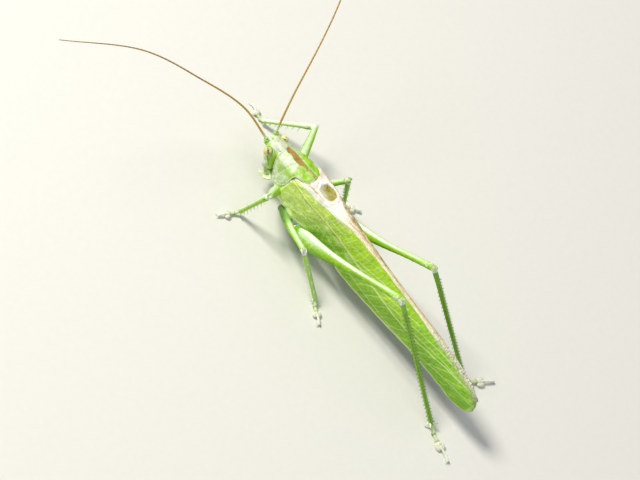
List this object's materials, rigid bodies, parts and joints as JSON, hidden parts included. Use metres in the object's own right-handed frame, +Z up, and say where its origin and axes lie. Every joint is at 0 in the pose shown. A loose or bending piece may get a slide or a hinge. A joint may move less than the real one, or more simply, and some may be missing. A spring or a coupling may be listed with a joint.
{
  "type": "bush-cricket",
  "caption": "Long horned grasshopper, a green male bush-cricket, standing with folded wings and spread feelers, a still life-size figure.",
  "frame": {"origin": "ground point under the middle of the whole insect's box, feelers included", "axes": "-Y the way the head faces, +X the animal's left, +Z up from the floor that the feet stand on"},
  "size_m": [0.0623, 0.0904, 0.0392],
  "materials": {
    "body_green": "satin living cuticle, leaf green with a tan stripe along the back",
    "leg_green": "satin living cuticle, bright green",
    "wing_green": "leathery wing with raised veins, pale and brown along the back",
    "hindwing_pale": "thin pale membrane",
    "face_green": "satin pale green mouthparts",
    "palp_pale": "satin whitish green",
    "eye_cream": "glossy, cream-yellow with a dark upright streak",
    "antenna_brown": "finely ringed, golden brown",
    "foot_pale": "soft pale pads and claws"
  },
  "bodies": {
    "root": {"abdomen_1": "body_green", "abdomen_2": "body_green", "abdomen_3": "body_green", "antenna_left_1": "antenna_brown", "antenna_left_2": "antenna_brown", "antenna_left_3": "antenna_brown", "antenna_left_root": "body_green", "antenna_right_1": "antenna_brown", "antenna_right_2": "antenna_brown", "antenna_right_3": "antenna_brown", "antenna_right_root": "body_green", "cercus_left": "body_green", "cercus_right": "body_green", "eye_left": "eye_cream", "eye_right": "eye_cream", "fore_left_coxa": "leg_green", "fore_left_femur": "leg_green", "fore_left_foot": "foot_pale", "fore_left_tibia": "leg_green", "fore_right_coxa": "leg_green", "fore_right_femur": "leg_green", "fore_right_foot": "foot_pale", "fore_right_tibia": "leg_green", "forewing_left": "wing_green", "forewing_right": "wing_green", "head": "body_green", "hind_left_coxa": "leg_green", "hind_left_femur": "leg_green", "hind_left_foot": "foot_pale", "hind_left_tibia": "leg_green", "hind_right_coxa": "leg_green", "hind_right_femur": "leg_green", "hind_right_foot": "foot_pale", "hind_right_tibia": "leg_green", "hindwing_left": "hindwing_pale", "hindwing_right": "hindwing_pale", "jaw_left": "face_green", "jaw_right": "face_green", "middle_left_coxa": "leg_green", "middle_left_femur": "leg_green", "middle_left_foot": "foot_pale", "middle_left_tibia": "leg_green", "middle_right_coxa": "leg_green", "middle_right_femur": "leg_green", "middle_right_foot": "foot_pale", "middle_right_tibia": "leg_green", "neck": "body_green", "palp_left": "palp_pale", "palp_right": "palp_pale", "pronotum": "body_green", "subgenital_plate": "body_green", "thorax": "body_green", "upper_lip": "face_green"}
  },
  "joints": []
}
